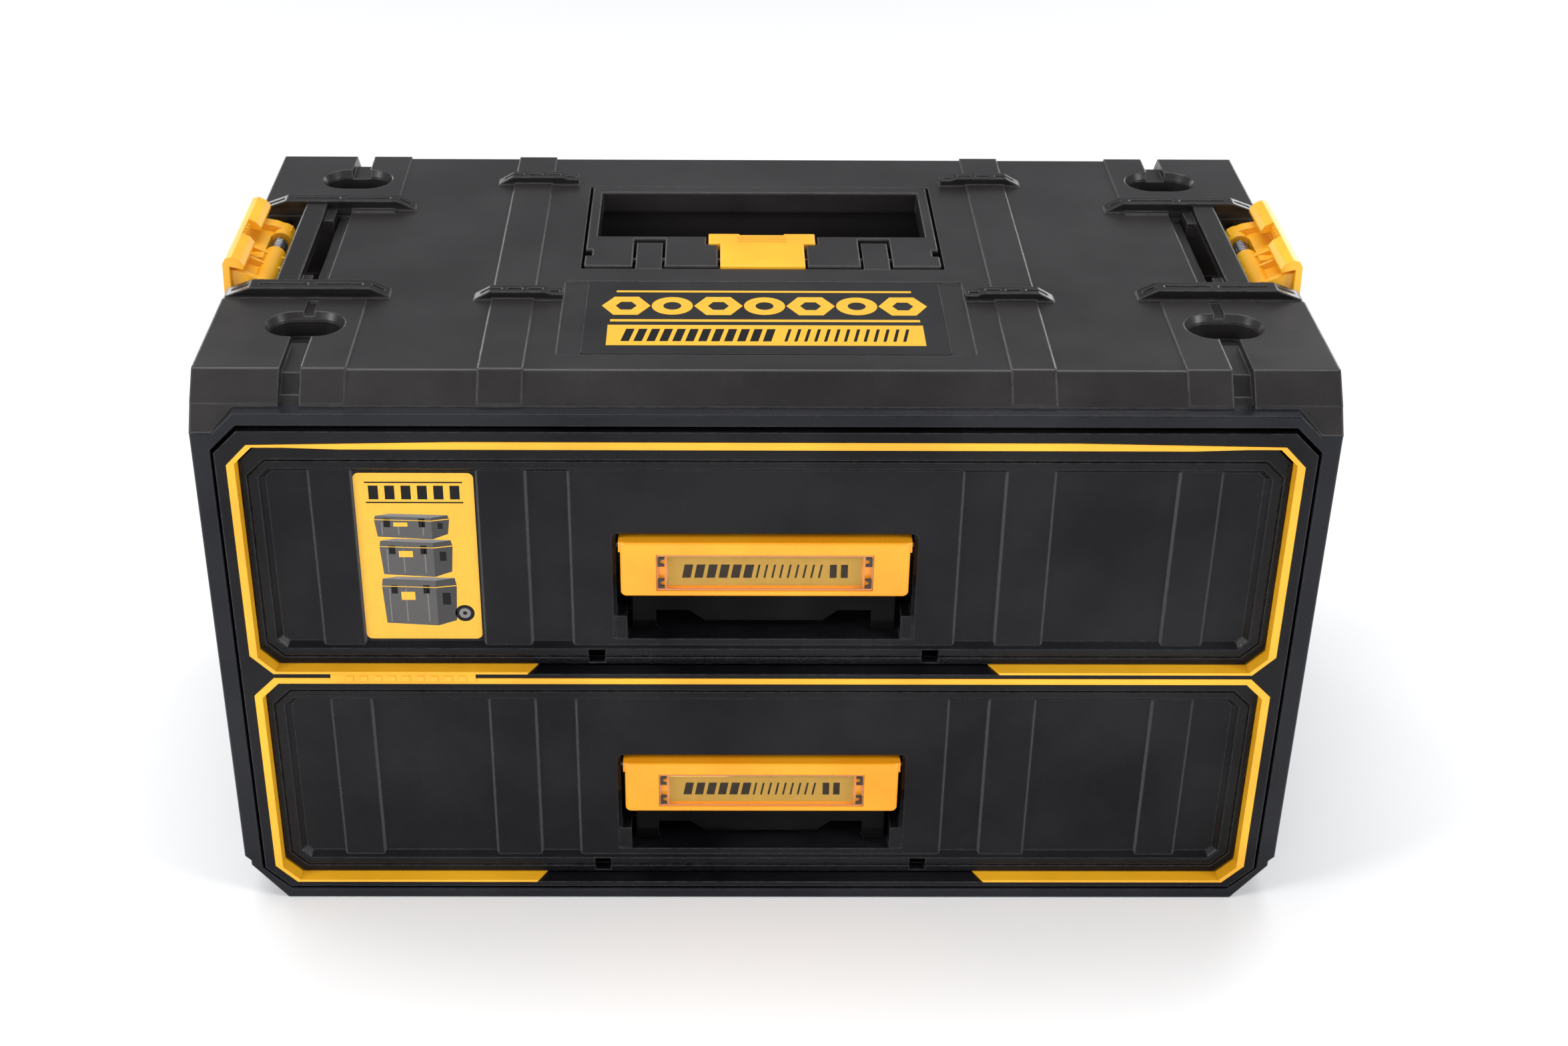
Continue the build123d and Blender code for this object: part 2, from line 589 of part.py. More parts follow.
def make_pull(bottom):
    """Yellow pull: face plate with a label window, hinge barrels along its top and two lifting fingers."""
    axis_y, axis_z = PULL_AXIS[0], bottom + PULL_AXIS[1]
    plate_back = PULL_FACE + PULL_PLATE
    low, high = bottom + PULL_LOW, bottom + PULL_HIGH
    with BuildPart() as pull:
        with BuildSketch(front_plane(PULL_FACE)):
            with Locations((0, (low + high) / 2)):
                RectangleRounded(2 * PULL_HALF, high - low, 3)
        extrude(amount=-PULL_PLATE)
        chamfer(pull.faces().sort_by(Axis.Y)[0].edges(), 0.8)
        slab(-PULL_HALF - 1, PULL_HALF + 1, PULL_FACE + 1, -143.5, high - 1.2, high)
        for _, side in SIDES:
            slab(side * 70, side * PULL_HALF, plate_back - 1, -143.0, low + 8, high - 3)
            slab(side * 70, side * (PULL_HALF + 1), PULL_FACE + 1.5, -143.5, high - 6, high)
            rod(BARREL_RADIUS, (side * 45 - 25, axis_y, axis_z), 50, "X")
            slab(side * 20, side * 70, plate_back - 0.5, axis_y, axis_z - 1, high - 1)
            slab(side * 46, side * 50, axis_y, -136.6, axis_z - 2, axis_z + 1)
            rod(BARREL_RADIUS, (min(side * 69, side * PULL_HALF), axis_y, axis_z), 4, "X")
        rod(PIN_RADIUS + RUNNING_FIT, (-80, axis_y, axis_z), 160, "X", Mode.SUBTRACT)
        slab(-WINDOW_HALF, WINDOW_HALF, PULL_FACE - 1, PULL_FACE + 2.6, bottom + WINDOW_LOW,
             bottom + WINDOW_HIGH, Mode.SUBTRACT)
    return pull


def make_label_card(bottom):
    """Paper card behind the window of a pull."""
    with BuildPart() as card:
        slab(-48.5, 48.5, PULL_FACE + 2.2, PULL_FACE + 2.6, bottom + 47.4, bottom + 64.3)
    return card


def make_label_window(bottom):
    """Clear cover with a thin rim that snaps over the card."""
    with BuildPart() as window:
        slab(-54, 54, PULL_FACE + 0.8, PULL_FACE + 2.2, bottom + 45.7, bottom + 66.0)
        slab(-50, 50, PULL_FACE, PULL_FACE + 1.2, bottom + 47.6, bottom + 64.2, Mode.SUBTRACT)
    return window


def make_pull_pin(bottom):
    """Steel pin that the pull turns on."""
    with BuildPart() as pin:
        rod(PIN_RADIUS, (-PIN_HALF, PULL_AXIS[0], bottom + PULL_AXIS[1]), 2 * PIN_HALF, "X")
    return pin


def make_coil(start, turns, pitch, coil_radius, wire_radius, along):
    """Round-wire coil around an axis through start, along the direction given."""
    with BuildPart() as coil:
        with BuildLine():
            path = Helix(pitch, turns * pitch, coil_radius, center=start, direction=along)
        with BuildSketch(Plane(origin=path @ 0, z_dir=path % 0)):
            Circle(wire_radius)
        sweep(path=path)
    return coil


def make_latch_bar(bottom):
    """Black bar behind the pull: two legs below, a stepped middle and two bolts above."""
    points = [(67, 66), (67, 11), (55, 11), (55, 26), (38, 26), (30, 19.7)]
    outline = [(x, bottom + z) for x, z in points] + [(-x, bottom + z) for x, z in reversed(points)]
    with BuildPart() as bar:
        with BuildSketch(front_plane(BAR_FRONT)):
            Polygon(*outline)
        extrude(amount=-BAR_SHEET)
        for _, side in SIDES:
            slab(side * (BOLT_LINE - 3), side * (BOLT_LINE + 3), BAR_FRONT, -137.5, bottom + 65, bottom + 114)
    return bar


def make_sticker(bottom):
    """Thin label on the sunk panel at the left of a drawer front."""
    floor = FRONT_FACE + PANEL_DEPTH
    with BuildPart() as sticker:
        with BuildSketch(front_plane(floor)):
            with Locations((-173, bottom + 61.5)):
                RectangleRounded(59, 97, 3)
        extrude(amount=0.3)
    return sticker


# ---------------------------------------------------------------- ball slides

OUTER_MEMBER = dict(web=256.0, tip=246.0, half_height=22.5, sheet=1.2)
MIDDLE_MEMBER = dict(web=253.8, tip=245.0, half_height=17.5, sheet=1.2)
INNER_MEMBER = dict(web=243.3, tip=251.5, half_height=12.5, sheet=1.2)
OUTER_CAGE = dict(web=254.55, tip=248.0, half_height=19.6, sheet=0.5)
INNER_CAGE = dict(web=252.3, tip=246.0, half_height=14.6, sheet=0.5)
OUTER_BALLS = (250.0, 19.4)
INNER_BALLS = (248.0, 14.4)
MEMBER_HOLES = (-100.0, 0.0, 100.0)


def make_slide_brackets():
    """Four channels that carry the slides on the side walls, inside the width of the openings."""
    with BuildPart() as brackets:
        for _, side in SIDES:
            for _, bottom in LEVELS:
                with BuildSketch(front_plane(-136)):
                    Polygon(*channel(256.0, HALF_WIDTH - WALL, 22.0, 2.0, bottom + SLIDE_CENTRE, side))
                extrude(amount=-276)
                for y in MEMBER_HOLES:
                    rod(PIN_RADIUS, (min(side * 255, side * 259), y, bottom + SLIDE_CENTRE), 4, "X",
                        Mode.SUBTRACT)
    return brackets


def make_members(section, bottom, sides, holes=False):
    """Straight slide members with one C section, on the sides given."""
    with BuildPart() as members:
        for side in sides:
            with BuildSketch(front_plane(SLIDE_FRONT)):
                Polygon(*channel(centre=bottom + SLIDE_CENTRE, side=side, **section))
            extrude(amount=-SLIDE_LENGTH)
            if holes:
                for y in MEMBER_HOLES:
                    rod(PIN_RADIUS, (min(side * 254, side * 257), y, bottom + SLIDE_CENTRE), 3, "X",
                        Mode.SUBTRACT)
    return members


def ball_places(row, bottom):
    """Centres of the balls of both slides of one drawer, in one ring of rows."""
    x, z = row
    spacing = CAGE_LENGTH / BALLS_PER_ROW
    return [(side * x, (index - (BALLS_PER_ROW - 1) / 2) * spacing, bottom + SLIDE_CENTRE + level * z)
            for _, side in SIDES for level in (-1, 1) for index in range(BALLS_PER_ROW)]


def make_cages(section, row, bottom):
    """Thin cages, left and right, with a hole around each ball."""
    with BuildPart() as cages:
        for _, side in SIDES:
            with BuildSketch(front_plane(-CAGE_LENGTH / 2)):
                Polygon(*channel(centre=bottom + SLIDE_CENTRE, side=side, **section))
            extrude(amount=-CAGE_LENGTH)
        with Locations(*ball_places(row, bottom)):
            Cylinder(BALL_RADIUS + 0.2, 2, mode=Mode.SUBTRACT)
    return cages


def make_balls(row, bottom):
    """Steel balls of both slides of one drawer."""
    with BuildPart() as balls:
        with Locations(*ball_places(row, bottom)):
            Sphere(BALL_RADIUS)
    return balls


def make_rail_screws():
    """Screws through the fixed slide members into their channels."""
    with BuildPart() as screws:
        for _, side in SIDES:
            for _, bottom in LEVELS:
                for y in MEMBER_HOLES:
                    z = bottom + SLIDE_CENTRE
                    rod(PIN_RADIUS, (min(side * 254.8, side * 259.5), y, z), 4.7, "X")
    return screws


# ---------------------------------------------------------------- carry handle and its catch

def make_handle():
    """Fold-flat handle: a frame around the hand opening, hinged on two wide knuckle blocks."""
    bottom = 297.0
    with BuildPart() as handle:
        slab(-HANDLE_HALF, HANDLE_HALF, -16, 93, bottom, HANDLE_TOP)
        fillet(handle.edges().filter_by(Axis.Z), 1.5)
        slab(-GRIP_HALF, GRIP_HALF, 23, 85, bottom - 1, HANDLE_TOP + 1, Mode.SUBTRACT)
        slab(-23.8, 23.8, -17, 24, bottom - 1, HANDLE_TOP + 1, Mode.SUBTRACT)
        slab(-30, 30, 12, 24, 306.2, HANDLE_TOP + 1, Mode.SUBTRACT)
        for _, side in SIDES:
            slab(side * 52, side * 69, -17, 20, bottom - 1, HANDLE_TOP + 1, Mode.SUBTRACT)
            slab(side * 91, side * 95, -2.5, 5.5, bottom - 1, HANDLE_TOP + 1, Mode.SUBTRACT)
        chamfer(handle.faces().filter_by(Axis.Z).sort_by(Axis.Z)[-1].outer_wire().edges(), 0.6)
        grip = handle.edges().filter_by(Axis.X).filter_by_position(Axis.Y, 84, 94)
        fillet(grip.group_by(Axis.Z)[0], 3)
        rod(PIN_RADIUS + RUNNING_FIT, (-95, *HANDLE_AXIS), 190, "X", Mode.SUBTRACT)
    return handle


def make_handle_pin():
    """Steel pin of the handle and its catch."""
    with BuildPart() as pin:
        rod(PIN_RADIUS, (-90.5, *HANDLE_AXIS), 181, "X")
    return pin


def make_centre_catch():
    """Yellow catch between the knuckles: a waist on the pin and a wider finger edge behind."""
    top = 311.2
    with BuildPart() as catch:
        slab(-22.5, 22.5, -17.2, 25.5, 300.5, top)
        slab(-28.8, 28.8, 13, 25.5, 306.8, top)
        slab(-12, 12, 24.0, 27, 300, top + 1, Mode.SUBTRACT)
        chamfer(catch.faces().sort_by(Axis.Z)[-1].outer_wire().edges(), 0.5)
        for index in range(3):
            slab(-13, 13, 14 + index * 2.8, 15.4 + index * 2.8, top - 0.5, top + 0.4)
        rod(PIN_RADIUS + RUNNING_FIT, (-30, *HANDLE_AXIS), 60, "X", Mode.SUBTRACT)
    return catch


# ---------------------------------------------------------------- side latches

LATCH_SPAN = (-31.0, 51.0)
LATCH_NOTCH = (1.0, 20.0)
LATCH_HUBS = ((-28.0, 42.0), (32.0, 14.0))
HUB_RADIUS = 6.0
SPRING_GAP = (14.0, 32.0)


def make_latch_lever(side):
    """Yellow side latch: outer plate with two claws, a sloped web, ribs and two lugs on the pin."""
    y0, y1 = LATCH_SPAN
    axis_x, axis_z = LATCH_AXIS
    plate = [(278.2, 288), (284.6, 286.5), (285.2, 289), (282.2, 300), (281.6, 317.5), (279.8, 320.5),
             (276.5, 321.2), (276.5, 317.5), (278.0, 316.5), (278.2, 300)]
    claw = [(280, 320.4), (276.5, 321.2), (272.5, 319.2), (270.3, 316.2), (270.6, 314.2), (280, 316.5)]
    web = [(261, 300.5), (279.5, 306.5), (279.5, 310), (262, 304.5)]
    lug = [(258, 298), (264, 294.6), (279.5, 290.5), (279.5, 312), (266, 309.4), (258, 306)]
    rib = [(256.4, 299), (262, 296.2), (279, 293.5), (279.5, 313), (275, 312.6), (262, 306.5), (256.4, 304.5)]
    with BuildPart() as lever:
        with BuildSketch(front_plane(y0)):
            Polygon(*[(side * x, z) for x, z in plate])
        extrude(amount=-(y1 - y0))
        for start, end in ((y0, LATCH_NOTCH[0]), (LATCH_NOTCH[1], y1)):
            with BuildSketch(front_plane(start)):
                Polygon(*[(side * x, z) for x, z in claw])
            extrude(amount=-(end - start))
        for start, depth, outline in ((-28, 4, rib), (-8, 2.4, rib), (5, 2.4, rib), (38, 8, lug)):
            with BuildSketch(front_plane(start)):
                Polygon(*[(side * x, z) for x, z in outline])
            extrude(amount=-depth)
        with BuildSketch(front_plane(-28)):
            Polygon(*[(side * x, z) for x, z in web])
        extrude(amount=-70)
        for start, length in LATCH_HUBS:
            rod(HUB_RADIUS, (side * axis_x, start, axis_z), length, "Y")
        slab(side * 266, side * 274, -4, 3, 304, 309.5)
        for index in range(4):
            slab(side * 275.5, side * 277.2, 3.5 + index * 4, 5.5 + index * 4, 316, 319.5)
        slab(side * 255, side * 267.8, *SPRING_GAP, 294, 309.6, Mode.SUBTRACT)
        rod(PIN_RADIUS + RUNNING_FIT, (side * axis_x, -40, axis_z), 100, "Y", Mode.SUBTRACT)
    return lever


def make_latch_springs():
    """Return springs around the pins of the side latches."""
    with BuildPart() as springs:
        for _, side in SIDES:
            start = (side * LATCH_AXIS[0], SPRING_GAP[0] + 2, LATCH_AXIS[1])
            add(make_coil(start, 7, 2.0, 3.6, 0.7, (0, 1, 0)).part)
    return springs


def make_latch_pins():
    """Steel pins of the two side latches, held in the walls of their wells."""
    with BuildPart() as pins:
        for _, side in SIDES:
            rod(PIN_RADIUS, (side * LATCH_AXIS[0], WELL_FRONT - 3, LATCH_AXIS[1]),
                WELL_BACK - WELL_FRONT + 6, "Y")
    return pins


# ---------------------------------------------------------------- the whole box

case_pieces = {
    "base_pan": make_base_pan(),
    "back_panel": make_back_panel(),
    "case_screws": make_case_screws(),
    "top_deck": make_top_deck(),
    "top_label_plate": make_label_plate(),
    "front_rim": make_front_rim(),
    "front_bezel": make_front_bezel(),
    "yellow_trim": make_trim(),
    "slide_brackets": make_slide_brackets(),
    "rail_screws": make_rail_screws(),
    "carry_handle": make_handle(),
    "handle_pin": make_handle_pin(),
    "centre_catch": make_centre_catch(),
    "latch_pins": make_latch_pins(),
    "latch_springs": make_latch_springs(),
    "handle_pocket": make_handle_pocket(),
    "stacking_sockets": make_sockets(),
}
for name, piece in case_pieces.items():
    save(piece, name)

for side_name, side in SIDES:
    save(make_side_panel(side), f"{side_name}_side_panel")
    save(make_bridge_bar(side), f"{side_name}_bridge_bar")
    save(make_latch_lever(side), f"{side_name}_latch_lever")
    save(make_latch_well(side), f"{side_name}_latch_well")

for level_name, bottom in LEVELS:
    save(make_tub(bottom), f"{level_name}_drawer_tub")
    save(make_drawer_front(bottom), f"{level_name}_drawer_front")
    save(make_front_screws(bottom), f"{level_name}_front_screws")
    save(make_pull(bottom), f"{level_name}_pull")
    save(make_label_card(bottom), f"{level_name}_label_card")
    save(make_label_window(bottom), f"{level_name}_label_window")
    save(make_pull_pin(bottom), f"{level_name}_pull_pin")
    save(make_latch_bar(bottom), f"{level_name}_latch_bar")
    spring_start = (-8.0, PULL_AXIS[0], bottom + PULL_AXIS[1])
    save(make_coil(spring_start, 10, 1.6, 2.9, 0.45, (1, 0, 0)), f"{level_name}_pull_spring")
    save(make_members(MIDDLE_MEMBER, bottom, (-1, 1)), f"{level_name}_middle_members")
    save(make_cages(OUTER_CAGE, OUTER_BALLS, bottom), f"{level_name}_outer_cages")
    save(make_cages(INNER_CAGE, INNER_BALLS, bottom), f"{level_name}_inner_cages")
    save(make_balls(OUTER_BALLS, bottom), f"{level_name}_outer_balls")
    save(make_balls(INNER_BALLS, bottom), f"{level_name}_inner_balls")
    save(make_members(OUTER_MEMBER, bottom, (-1, 1), holes=True), f"{level_name}_case_members")
    for side_name, side in SIDES:
        save(make_members(INNER_MEMBER, bottom, (side,)), f"{level_name}_{side_name}_drawer_member")

save(make_sticker(LEVELS[1][1]), "upper_sticker")
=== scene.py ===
import json
import math

import bpy
from mathutils import Matrix, Vector


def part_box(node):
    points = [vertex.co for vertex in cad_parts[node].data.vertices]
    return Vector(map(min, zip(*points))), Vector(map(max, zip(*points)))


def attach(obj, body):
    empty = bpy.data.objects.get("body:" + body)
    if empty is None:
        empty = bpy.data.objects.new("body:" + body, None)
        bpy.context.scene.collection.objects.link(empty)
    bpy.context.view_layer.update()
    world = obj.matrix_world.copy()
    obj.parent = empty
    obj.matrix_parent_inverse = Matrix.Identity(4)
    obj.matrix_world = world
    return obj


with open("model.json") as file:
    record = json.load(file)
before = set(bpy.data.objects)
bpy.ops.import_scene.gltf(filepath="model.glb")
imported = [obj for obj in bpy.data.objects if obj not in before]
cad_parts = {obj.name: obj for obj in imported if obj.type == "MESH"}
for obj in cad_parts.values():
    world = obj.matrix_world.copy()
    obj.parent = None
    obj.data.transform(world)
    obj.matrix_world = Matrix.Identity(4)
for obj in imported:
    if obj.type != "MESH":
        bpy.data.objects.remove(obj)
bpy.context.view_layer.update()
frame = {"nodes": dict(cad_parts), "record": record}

NODES = frame["nodes"]
MM = 0.001
SIDES = (("left", -1), ("right", 1))
LEVELS = ("lower", "upper")


# ---------------------------------------------------------------- camera, floor and light

CAMERA_PLACE = Vector((-25.2, -1104.8, 798.6)) * MM
CAMERA_YAW = math.radians(0.56)
CAMERA_PITCH = math.radians(30.58)
CAMERA_ROLL = math.radians(0.41)
CAMERA_LENS = 51.53
CAMERA_SENSOR = 36
CAMERA_SHIFT = (0.0322, -0.0024)
CAMERA_CLIP = (0.05, 50)

WORLD_COLOUR = (0.93, 0.95, 1.0, 1)
WORLD_STRENGTH = 0.34
FLOOR_REACH = 8.0
FLOOR_COLOUR = (0.93, 0.93, 0.93, 1)
FLOOR_ROUGHNESS = 0.85


def make_camera():
    """Camera in front of the box and above it, a little off its middle."""
    yaw, pitch, roll = CAMERA_YAW, CAMERA_PITCH, CAMERA_ROLL
    forward = Vector((math.sin(yaw) * math.cos(pitch), math.cos(yaw) * math.cos(pitch),
                      -math.sin(pitch)))
    level = Vector((math.cos(yaw), -math.sin(yaw), 0))
    upright = level.cross(forward)
    right = math.cos(roll) * level + math.sin(roll) * upright
    up = -math.sin(roll) * level + math.cos(roll) * upright
    data = bpy.data.cameras.new("camera")
    data.lens = CAMERA_LENS
    data.sensor_width = CAMERA_SENSOR
    data.sensor_fit = "HORIZONTAL"
    data.shift_x, data.shift_y = CAMERA_SHIFT
    data.clip_start, data.clip_end = CAMERA_CLIP
    camera = bpy.data.objects.new("camera", data)
    turn = Matrix((right, up, -forward)).transposed().to_4x4()
    camera.matrix_world = Matrix.Translation(CAMERA_PLACE) @ turn
    bpy.context.scene.collection.objects.link(camera)
    bpy.context.scene.camera = camera


def make_area_light(name, place, target, size, power):
    """Soft rectangular light at a place, facing a target."""
    data = bpy.data.lights.new(name, "AREA")
    data.shape = "RECTANGLE"
    data.size, data.size_y = size
    data.energy = power
    lamp = bpy.data.objects.new(name, data)
    lamp.visible_camera = False
    lamp.location = place
    lamp.rotation_euler = (Vector(target) - Vector(place)).to_track_quat("-Z", "Y").to_euler()
    bpy.context.scene.collection.objects.link(lamp)


def set_colours():
    """Plain display colours, so that paints look as they are mixed."""
    bpy.context.scene.view_settings.view_transform = "Standard"
    bpy.context.scene.view_settings.look = "None"


def make_world():
    """Even pale surroundings."""
    world = bpy.data.worlds.new("studio")
    world.use_nodes = True
    back = world.node_tree.nodes["Background"]
    back.inputs["Color"].default_value = WORLD_COLOUR
    back.inputs["Strength"].default_value = WORLD_STRENGTH
    bpy.context.scene.world = world


def make_floor():
    """Wide pale floor under the box."""
    mesh = bpy.data.meshes.new("floor")
    reach = FLOOR_REACH
    corners = [(-reach, -reach, 0), (reach, -reach, 0), (reach, reach, 0), (-reach, reach, 0)]
    mesh.from_pydata(corners, [], [(0, 1, 2, 3)])
    floor = bpy.data.objects.new("floor", mesh)
    bpy.context.scene.collection.objects.link(floor)
    paint = bpy.data.materials.new("floor_paint")
    paint.use_nodes = True
    shader = paint.node_tree.nodes["Principled BSDF"]
    shader.inputs["Base Color"].default_value = FLOOR_COLOUR
    shader.inputs["Roughness"].default_value = FLOOR_ROUGHNESS
    mesh.materials.append(paint)


def make_lights():
    """Studio lights, each with its place, target, size and power."""
    make_area_light("overhead", (-0.2, 0.5, 2.3), (0, 0, 0.2), (2.6, 0.9), 38)
    make_area_light("front_fill", (-0.3, -2.6, 1.1), (0, 0, 0.15), (2.2, 0.6), 15)
    for side, sign in SIDES:
        make_area_light(f"{side}_floor_light", (sign * 1.7, -0.9, 0.9), (sign * 0.8, -0.7, 0), (0.6, 1.2), 23)
        make_area_light(f"{side}_back_light", (sign * 1.5, 2.3, 0.75), (0, 0, 0.3), (0.6, 0.9), 10)


# ---------------------------------------------------------------- materials

BEVEL_SAMPLES = 6
EDGE_COSINES = (0.995, 0.86)  # true against rounded normal, where an edge begins and where it is full
CELL_SMOOTHNESS = 0.35
NOISE_RANGE = (0.3, 0.7)  # where most of a noise lies
CLOUD_RANGE = (0.35, 0.65)

DRIFT_SIZE, RUB_SIZE, GLOSS_SIZE = 0.06, 0.004, 0.022
SPECK_GLOSS = 0.04
# painted shade on the deck's raised rails: the height over which it fades in, and how dark it makes the
# colour
PAINTED_SHADE_STEP, PAINTED_SHADE_SCALE = 0.0006, 0.3
GRAIN_STEP, GRAIN_BEHIND = 0.0003, 0.12
SLOPE_BEGINS, SLOPE_ENDS = (0.74, 0.82), (0.92, 0.97)  # how far a rib's flank faces sideways

METAL_GRAIN, EDGE_WEAR = 0.0008, 0.6
FIBRE = 0.00025
WINDOW_ALPHA = 0.03
PANEL_LIP = 0.0009  # the grain of a drawer front ends this far behind its foremost face
RAIL_STEP = 0.0013  # what stands this far above the deck's label plate gets painted shade, darker, standing in for how its glossy raised rails take light


def scaled(colour, times, plus=0.0):
    """Colour times a number, and held at full."""
    return tuple(min(1.0, c * times + plus) for c in colour)


class Nodes:
    """Short way to add and link the nodes of one material."""

    def __init__(self, name):
        self.material = bpy.data.materials.new(name)
        self.material.use_nodes = True
        self.tree = self.material.node_tree
        self.shader = self.tree.nodes["Principled BSDF"]

    def add(self, kind, **values):
        """New node of a kind, with its settings."""
        node = self.tree.nodes.new(kind)
        for key, value in values.items():
            setattr(node, key, value)
        return node

    def link(self, source, target):
        self.tree.links.new(source, target)

    def object_place(self, stretch=(1, 1, 1)):
        """Place on the object in metres, stretched along each axis."""
        place = self.add("ShaderNodeTexCoord").outputs["Object"]
        if stretch == (1, 1, 1):
            return place
        mapping = self.add("ShaderNodeMapping")
        mapping.inputs["Scale"].default_value = stretch
        self.link(place, mapping.inputs["Vector"])
        return mapping.outputs["Vector"]

    def place_along(self, axis):
        """Place on the object along one axis."""
        split = self.add("ShaderNodeSeparateXYZ")
        self.link(self.object_place(), split.inputs["Vector"])
        return split.outputs[axis]

    def facing(self, axis):
        """How far the surface faces along one axis."""
        split = self.add("ShaderNodeSeparateXYZ")
        self.link(self.add("ShaderNodeNewGeometry").outputs["True Normal"], split.inputs["Vector"])
        return split.outputs[axis]

    def noise(self, size, detail=2.0, roughness=0.5, stretch=(1, 1, 1)):
        """Noise whose features are about size metres wide."""
        node = self.add("ShaderNodeTexNoise")
        node.inputs["Scale"].default_value = 1 / size
        node.inputs["Detail"].default_value = detail
        node.inputs["Roughness"].default_value = roughness
        self.link(self.object_place(stretch), node.inputs["Vector"])
        return node.outputs["Fac"]

    def cells(self, size):
        """Voronoi distance whose cells are about size metres wide, from 0 in a cell's middle."""
        node = self.add("ShaderNodeTexVoronoi", feature="SMOOTH_F1")
        node.inputs["Scale"].default_value = 1 / size
        node.inputs["Smoothness"].default_value = CELL_SMOOTHNESS
        self.link(self.object_place(), node.inputs["Vector"])
        return node.outputs["Distance"]

    def span(self, value, low, high, to_low, to_high):
        """value carried from one range to another, and held at its ends."""
        node = self.add("ShaderNodeMapRange")
        for key, number in (("From Min", low), ("From Max", high), ("To Min", to_low), ("To Max", to_high)):
            node.inputs[key].default_value = number
        self.link(value, node.inputs["Value"])
        return node.outputs["Result"]

    def math(self, operation, first, second):
        """Arithmetic on two numbers or sockets."""
        node = self.add("ShaderNodeMath", operation=operation)
        for socket, value in zip(node.inputs, (first, second)):
            if isinstance(value, (int, float)):
                socket.default_value = value
            else:
                self.link(value, socket)
        return node.outputs["Value"]

    def mix(self, factor, first, second):
        """Mix of two colours or sockets, by a factor socket."""
        node = self.add("ShaderNodeMix", data_type="RGBA")
        sockets = [s for s in node.inputs if s.type == "RGBA"]
        self.link(factor, node.inputs[0])
        for socket, value in zip(sockets, (first, second)):
            if isinstance(value, tuple):
                socket.default_value = (*value, 1)
            else:
                self.link(value, socket)
        return [s for s in node.outputs if s.type == "RGBA"][0]

    def rounded(self, radius):
        """Normal of the surface as if its edges were rounded by radius."""
        bevel = self.add("ShaderNodeBevel", samples=BEVEL_SAMPLES)
        bevel.inputs["Radius"].default_value = radius
        return bevel.outputs["Normal"]

    def edges(self, radius):
        """1 along sharp edges, within radius, and 0 on flat faces."""
        geometry = self.add("ShaderNodeNewGeometry")
        dot = self.add("ShaderNodeVectorMath", operation="DOT_PRODUCT")
        self.link(self.rounded(radius), dot.inputs[0])
        self.link(geometry.outputs["Normal"], dot.inputs[1])
        return self.span(dot.outputs["Value"], *EDGE_COSINES, 0, 1)

    def bump(self, height, distance, radius=None):
        """Bump from a height socket, on top of edges rounded by radius if one is given."""
        node = self.add("ShaderNodeBump")
        node.inputs["Strength"].default_value = 1.0
        node.inputs["Distance"].default_value = distance
        self.link(height, node.inputs["Height"])
        if radius:
            self.link(self.rounded(radius), node.inputs["Normal"])
        return node.outputs["Normal"]


def moulded_plastic(name, colour, rough, grain=0.0006, grain_height=0.00002, edge=0.0006, cloud=0.15,
                    edge_wear_and_highlight=0.35, cells=False, specular=0.5, grain_in_front_of=None, painted_shade_above=None,
                    painted_flank_highlight=None):
    """Moulded plastic: fine grain, cloudy gloss, faint colour drift, and edges painted lighter, partly rubbed
    wear and partly painted highlight.

    grain_in_front_of keeps the grain to what lies in front of that depth; over the height given for it,
    the plastic gets painted shade, darker, standing in for how the glossy raised rails take light; and
    the colour given for rib flanks is a painted highlight on the steep flanks of upright ribs.
    """
    n = Nodes(name)
    drift = n.span(n.noise(DRIFT_SIZE, detail=4.0), *CLOUD_RANGE, 0, 1)
    # edges painted lighter in patches: partly rubbed wear, partly painted highlight along the edges
    patches = n.span(n.noise(RUB_SIZE, detail=3.0), *NOISE_RANGE, 0.2, 1.0)
    lighter_edges = n.math("MULTIPLY", n.edges(edge), patches)
    body = n.mix(drift, colour, scaled(colour, 1.25, 0.006))
    if painted_shade_above is not None:
        # painted shade: above the given height the colour is darkened, standing in for how the glossy rails
        # take light
        painted_rail_shade = n.span(n.place_along("Z"), painted_shade_above, painted_shade_above + PAINTED_SHADE_STEP, 0, 1)
        body = n.mix(painted_rail_shade, body, scaled(colour, PAINTED_SHADE_SCALE))
    if painted_flank_highlight is not None:
        # painted highlight: the steep sideways flanks of upright ribs are painted pale, standing in for the
        # highlight lines along the ribs
        slope = n.math("ABSOLUTE", n.facing("X"), 0)
        flank_highlight_mask = n.math("MULTIPLY", n.span(slope, *SLOPE_BEGINS, 0, 1), n.span(slope, *SLOPE_ENDS, 1, 0))
        body = n.mix(flank_highlight_mask, body, painted_flank_highlight)
    edge_wear_highlight_colour = scaled(colour, 1 + edge_wear_and_highlight, 0.05 * edge_wear_and_highlight)
    n.link(n.mix(lighter_edges, body, edge_wear_highlight_colour), n.shader.inputs["Base Color"])
    swing = cloud * 0.3
    gloss = n.span(n.noise(GLOSS_SIZE, detail=5.0, roughness=0.6), *NOISE_RANGE, rough - swing, rough + swing)
    specks = n.span(n.noise(grain * 1.7, detail=2.0), *NOISE_RANGE, -SPECK_GLOSS, SPECK_GLOSS)
    n.link(n.math("ADD", gloss, specks), n.shader.inputs["Roughness"])
    height = n.cells(grain) if cells else n.noise(grain, detail=3.0)
    if grain_in_front_of is not None:
        near = n.span(n.place_along("Y"), grain_in_front_of - GRAIN_STEP, grain_in_front_of + GRAIN_STEP,
                      1, GRAIN_BEHIND)
        height = n.math("MULTIPLY", height, near)
    n.link(n.bump(height, grain_height, radius=edge), n.shader.inputs["Normal"])
    n.shader.inputs["Specular IOR Level"].default_value = specular
    return n.material


